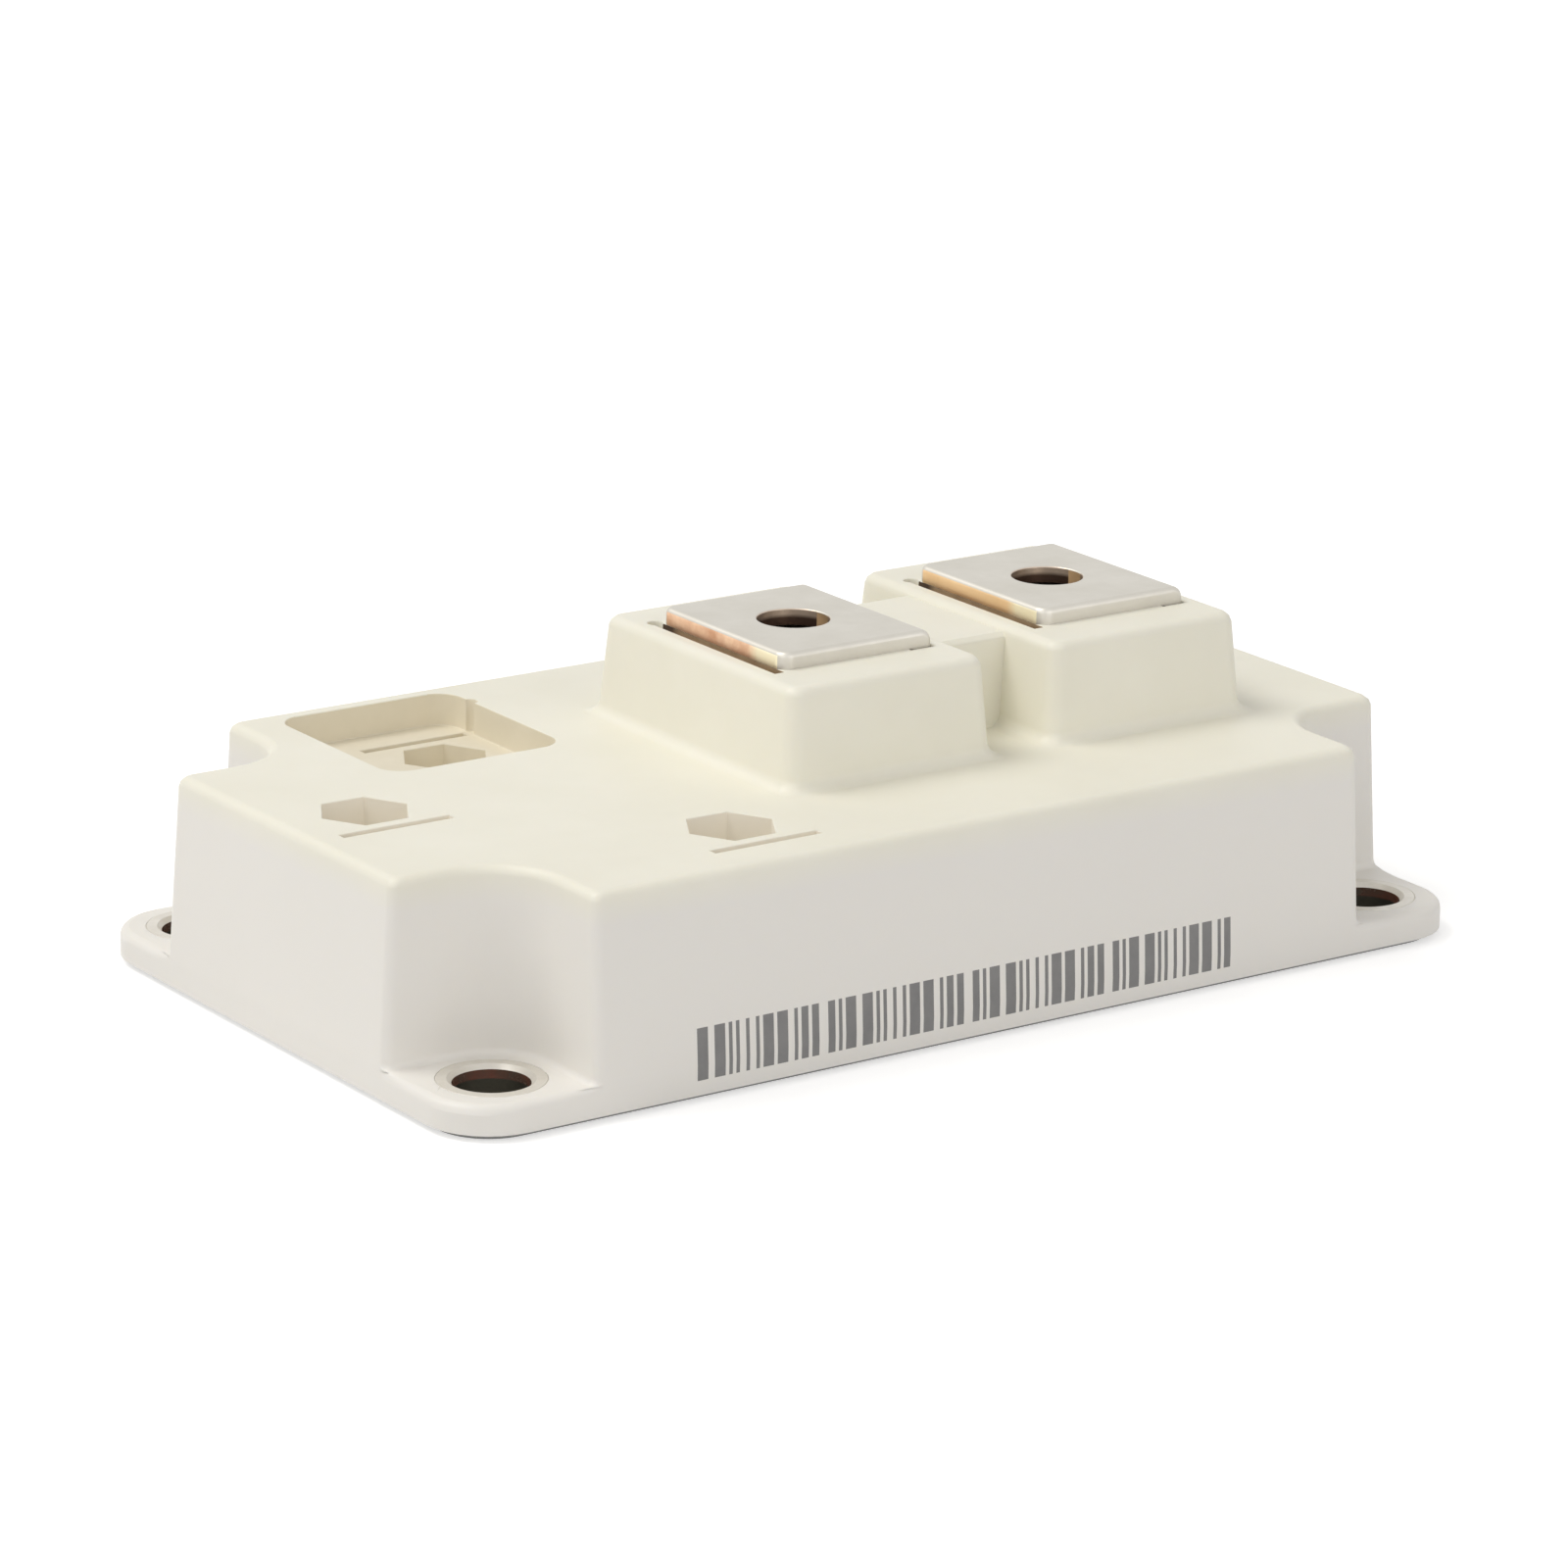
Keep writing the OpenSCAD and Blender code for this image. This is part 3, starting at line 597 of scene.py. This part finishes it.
def pressBend(mesh, middleX):
    # the outside of the top bend is moved out to a tighter corner
    centreX = middleX + terminal["back"] - terminal["bendRadius"]
    centreZ = highCorner.z - terminal["bendRadius"]
    out = terminal["bendRadius"] - terminal["pressedRadius"]
    for vert in mesh.verts:
        x, z = vert.co.x - centreX, vert.co.z - centreZ
        reach = math.hypot(x, z)
        if min(x, z) >= -touch / 2 and abs(reach - terminal["bendRadius"]) < touch:
            vert.co.x = centreX + out + x / reach * terminal["pressedRadius"]
            vert.co.z = centreZ + out + z / reach * terminal["pressedRadius"]


def inHole(place, middleX):
    return math.hypot(place.x - middleX, place.y) < terminal["holeReach"]


def markStrap(mesh, middleX):
    # bare copper shows at the sheared end and in the punched hole
    for face in mesh.faces:
        middle = face.calc_center_median()
        if middle.z < module["blockTop"]:
            continue
        if face.normal.x < -terminal["endFacing"]:
            face.material_index = strapFinishes.index(shearedCopper)
        elif inHole(middle, middleX) and abs(face.normal.z) < terminal["wallTilt"]:
            face.material_index = strapFinishes.index(holeCopper)


def makeTerminal(nodeName):
    mesh = copyOfNode(nodeName)
    number = nodeName[-1]
    middleX = seatOf("terminal_nut_" + number)[0][0]
    pressBend(mesh, middleX)
    bmesh.ops.bisect_plane(
        mesh, geom=wholeOf(mesh), dist=meshing["cut"],
        plane_co=(0, 0, module["blockTop"] - terminal["sunk"]), plane_no=(0, 0, 1),
    )
    rim, rounded = [], []
    for edge in sharpEdges(mesh, terminal["edgeAngle"]):
        if all(inHole(vert.co, middleX) for vert in edge.verts):
            if min(vert.co.z for vert in edge.verts) > highCorner.z - touch:
                rim.append(edge)
        elif all(onOutside(vert.co, middleX) for vert in edge.verts):
            rounded.append(edge)
    markStrap(mesh, middleX)
    softenEdges(mesh, rounded, terminal["rollover"], terminal["rolloverSteps"], clamp=False)
    rim = [edge for edge in rim if edge.is_valid]
    softenEdges(mesh, rim, terminal["holeEdge"], terminal["holeEdgeSteps"])
    for face in mesh.faces:
        sheared = face.material_index == strapFinishes.index(shearedCopper)
        if sheared and face.normal.z > terminal["topTilt"]:
            face.material_index = strapFinishes.index(nickel)
    piece = finishPiece(mesh, "powerTerminal" + number, strapFinishes)
    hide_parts(nodeName)


for nodeName in ("power_terminal_1", "power_terminal_2"):
    makeTerminal(nodeName)
print("terminals made")

nut = {
    "acrossFlats": 10.0 * mm,
    "threadInner": 2.5 * mm, "threadOuter": 3.0 * mm,
    "pitch": 1.0 * mm,
    "mouth": 3.2 * mm,           # countersink at both ends of the thread
    "faceRadius": 4.7 * mm, "cornerDrop": 0.55 * mm,
    "steps": 60,
    "smoothAngle": 30,
}
bush = {
    "inner": 3.3 * mm, "outer": 4.6 * mm,
    "lip": 0.1 * mm, "lipReach": 0.6 * mm,   # the top is pressed out against the housing
    "mouth": 0.4 * mm,           # chamfer of the bore
    "rim": 0.15 * mm,
    "boreReach": 3.4 * mm,       # faces nearer than this to the axis are the bore
    "steps": 64,
    "smoothAngle": 30,
}
bushMaterials = [bushSteel, paintedBoreShade]


def spinProfile(profile, centre, steps):
    # profile is a closed list of radius and height
    mesh = bmesh.new()
    points = [
        mesh.verts.new((centre[0] + radius, centre[1], height)) for radius, height in profile
    ]
    for first, second in zip(points, points[1:] + points[:1]):
        mesh.edges.new((first, second))
    bmesh.ops.spin(
        mesh, geom=list(mesh.verts) + list(mesh.edges), cent=(centre[0], centre[1], 0),
        axis=(0, 0, 1), angle=math.tau, steps=steps, use_merge=True,
    )
    bmesh.ops.remove_doubles(mesh, verts=mesh.verts, dist=meshing["cut"])
    bmesh.ops.recalc_face_normals(mesh, faces=mesh.faces)
    return mesh


def nutProfile(bottom, top):
    sink = nut["mouth"] - nut["threadInner"]
    corner = nut["acrossFlats"] / 2 / math.cos(math.radians(30))
    height = bottom + sink
    profile = [(nut["mouth"], bottom), (nut["threadInner"], height)]
    while height + nut["pitch"] < top - sink:
        profile.append((nut["threadOuter"], height + nut["pitch"] / 2))
        profile.append((nut["threadInner"], height + nut["pitch"]))
        height += nut["pitch"]
    return profile + [
        (nut["threadInner"], top - sink), (nut["mouth"], top),
        (nut["faceRadius"], top), (corner, top - nut["cornerDrop"]),
        (corner, bottom + nut["cornerDrop"]), (nut["faceRadius"], bottom),
    ]


def makeNut(nodeName):
    centre, bottom, top = seatOf(nodeName)
    mesh = spinProfile(nutProfile(bottom, top), centre, nut["steps"])
    for index in range(6):
        angle = math.radians(60 * index)
        outwards = (math.cos(angle), math.sin(angle), 0)
        place = (
            centre[0] + outwards[0] * nut["acrossFlats"] / 2,
            centre[1] + outwards[1] * nut["acrossFlats"] / 2, 0,
        )
        cut = bmesh.ops.bisect_plane(
            mesh, geom=wholeOf(mesh), dist=meshing["cut"],
            plane_co=place, plane_no=outwards, clear_outer=True,
        )
        loop = [item for item in cut["geom_cut"] if isinstance(item, bmesh.types.BMEdge)]
        bmesh.ops.contextual_create(mesh, geom=loop)
    piece = finishPiece(mesh, "terminalNut" + nodeName[-1], [nutSteel], nut["smoothAngle"])
    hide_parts(nodeName)


def makeBush(nodeName):
    centre, bottom, top = seatOf(nodeName)
    inner, outer = bush["inner"], bush["outer"]
    pressed = outer + bush["lip"]
    profile = [
        (inner, bottom), (inner, top - bush["mouth"]), (inner + bush["mouth"], top),
        (outer, top), (pressed, top - bush["rim"]), (pressed, top - bush["lipReach"]),
        (outer, top - bush["lipReach"] - bush["rim"]), (outer, bottom),
    ]
    mesh = spinProfile(profile, centre, bush["steps"])
    for face in mesh.faces:
        x, y, z = face.calc_center_median()
        # the bore's faces get the painted shade
        if math.hypot(x - centre[0], y - centre[1]) < bush["boreReach"]:
            face.material_index = bushMaterials.index(paintedBoreShade)
    piece = finishPiece(mesh, "mountingBush" + nodeName[-1], bushMaterials, bush["smoothAngle"])
    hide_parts(nodeName)


for number in ("1", "2"):
    makeNut("terminal_nut_" + number)
for number in ("1", "2", "3", "4"):
    makeBush("mounting_bush_" + number)
print("nuts and bushes made")

finishes = {   # start of the node's name, and its finish
    "base_plate": platedCopper,
    "lower_copper": bareCopper,
    "ceramic_tile": ceramic,
    "copper_pattern": bareCopper,
    "power_chip": silicon,
    "bond_wires": wire,
    "silicone_gel": gel,
}
for nodeName, node in nodes.items():
    for start, material in finishes.items():
        if nodeName.startswith(start):
            node.data.materials.clear()
            node.data.materials.append(material)
print("carried-over nodes finished")

studio = {
    "floorSize": 3.0,
    "floorTone": 0.8,
    "floorLift": 0.5,          # added for the camera, so that the lit floor is white
    "farLift": 1.0, "farFrom": 0.2, "farTo": 0.5,   # more of it away from the lamps
    "darkInset": 2.6 * mm,     # the lift stops this far inside the part's outline
    "worldLight": (1.0, 0.985, 0.96, 1),
    "worldStrength": 0.43,
    "backdrop": (1, 1, 1, 1),
    "lampAim": (0, 0, 12 * mm),
    "lamps": {
        # name: (place, size, watts, colour)
        "overhead": ((-0.4, 0.3, 0.82), 0.5, 4.2, (1.0, 0.985, 0.95)),
        "leftFill": ((-0.9, -0.45, 0.45), 0.8, 1.5, (1.0, 0.99, 1.0)),
        "frontFill": ((0.2, -1.0, 0.42), 0.8, 2.2, (1.0, 0.99, 1.0)),
    },
}


def seenThrough(tree):
    # 1 for rays from the camera and for what metal and glass show
    path = tree.nodes.new("ShaderNodeLightPath").outputs
    seen = mathNode(tree, "MAXIMUM", path["Is Camera Ray"], path["Is Glossy Ray"])
    return mathNode(tree, "MAXIMUM", seen, path["Is Transmission Ray"])


def floorLift(tree):
    # how much the floor is lifted: more far away, and nothing under the part,
    # so that its screw holes stay dark
    place = objectPlace(tree)
    axes = splitNode(tree, place)
    edgeX, edgeY = highCorner.x - studio["darkInset"], highCorner.y - studio["darkInset"]
    pastX = mathNode(tree, "GREATER_THAN", mathNode(tree, "ABSOLUTE", axes["X"]), edgeX)
    pastY = mathNode(tree, "GREATER_THAN", mathNode(tree, "ABSOLUTE", axes["Y"]), edgeY)
    amount = rangeNode(
        tree, lengthNode(tree, place),
        studio["farFrom"], studio["farTo"], studio["floorLift"], studio["farLift"],
    )
    return mathNode(tree, "MULTIPLY", mathNode(tree, "MAXIMUM", pastX, pastY), amount)


def makeFloor():
    mesh = bmesh.new()
    bmesh.ops.create_grid(mesh, x_segments=1, y_segments=1, size=studio["floorSize"] / 2)
    data = bpy.data.meshes.new("floor")
    mesh.to_mesh(data)
    mesh.free()
    floor = addObject("floor", data)
    material = bpy.data.materials.new("whiteFloor")
    material.use_nodes = True
    tree = material.node_tree
    tree.nodes.clear()
    grey = (studio["floorTone"],) * 3 + (1,)
    matt = addNode(tree, "ShaderNodeBsdfDiffuse", {"Color": grey}).outputs[0]
    strength = mathNode(tree, "MULTIPLY", seenThrough(tree), floorLift(tree))
    lift = addNode(tree, "ShaderNodeEmission", {"Strength": strength}).outputs[0]
    both = addNode(tree, "ShaderNodeAddShader", {0: matt, 1: lift}).outputs[0]
    addNode(tree, "ShaderNodeOutputMaterial", {"Surface": both})
    data.materials.append(material)


def makeWorld():
    # light of its own for the part, and plain white behind it
    world = bpy.data.worlds.new("studio")
    bpy.context.scene.world = world
    world.use_nodes = True
    tree = world.node_tree
    tree.nodes.clear()
    light = addNode(tree, "ShaderNodeBackground", {
        "Color": studio["worldLight"], "Strength": studio["worldStrength"],
    }).outputs[0]
    white = addNode(tree, "ShaderNodeBackground", {
        "Color": studio["backdrop"], "Strength": 1.0,
    }).outputs[0]
    mixed = addNode(tree, "ShaderNodeMixShader", {0: seenThrough(tree), 1: light, 2: white})
    addNode(tree, "ShaderNodeOutputWorld", {"Surface": mixed.outputs[0]})


def makeLamps():
    for name, (place, size, watts, colour) in studio["lamps"].items():
        light = bpy.data.lights.new(name, "AREA")
        light.size = size
        light.energy = watts
        light.color = colour
        lamp = addObject(name, light)
        lamp.location = place
        lamp.rotation_mode = "QUATERNION"
        towards = Vector(studio["lampAim"]) - Vector(place)
        lamp.rotation_quaternion = towards.to_track_quat("-Z", "Y")


view = {
    "azimuth": -35.2, "elevation": 16.7, "roll": 0.945,   # degrees
    "distance": 553.4 * mm,
    "aim": Vector((0, 1.0, 14.6)) * mm,
    "lens": 143.2, "sensor": 36,
    "nearest": 10 * mm,
}


def makeCamera():
    around, up = math.radians(view["azimuth"]), math.radians(view["elevation"])
    back = Vector((
        math.sin(around) * math.cos(up), -math.cos(around) * math.cos(up), math.sin(up),
    ))
    camera = addObject("camera", bpy.data.cameras.new("camera"))
    camera.data.lens = view["lens"]
    camera.data.sensor_width = view["sensor"]
    camera.data.clip_start = view["nearest"]
    turn = (-back).to_track_quat("-Z", "Y").to_matrix().to_4x4()
    roll = Matrix.Rotation(math.radians(view["roll"]), 4, "Z")
    move = Matrix.Translation(view["aim"] + back * view["distance"])
    camera.matrix_world = move @ turn @ roll
    bpy.context.scene.camera = camera


makeFloor()
makeWorld()
makeLamps()
makeCamera()
bpy.context.scene.view_settings.view_transform = "Standard"
print("studio made")
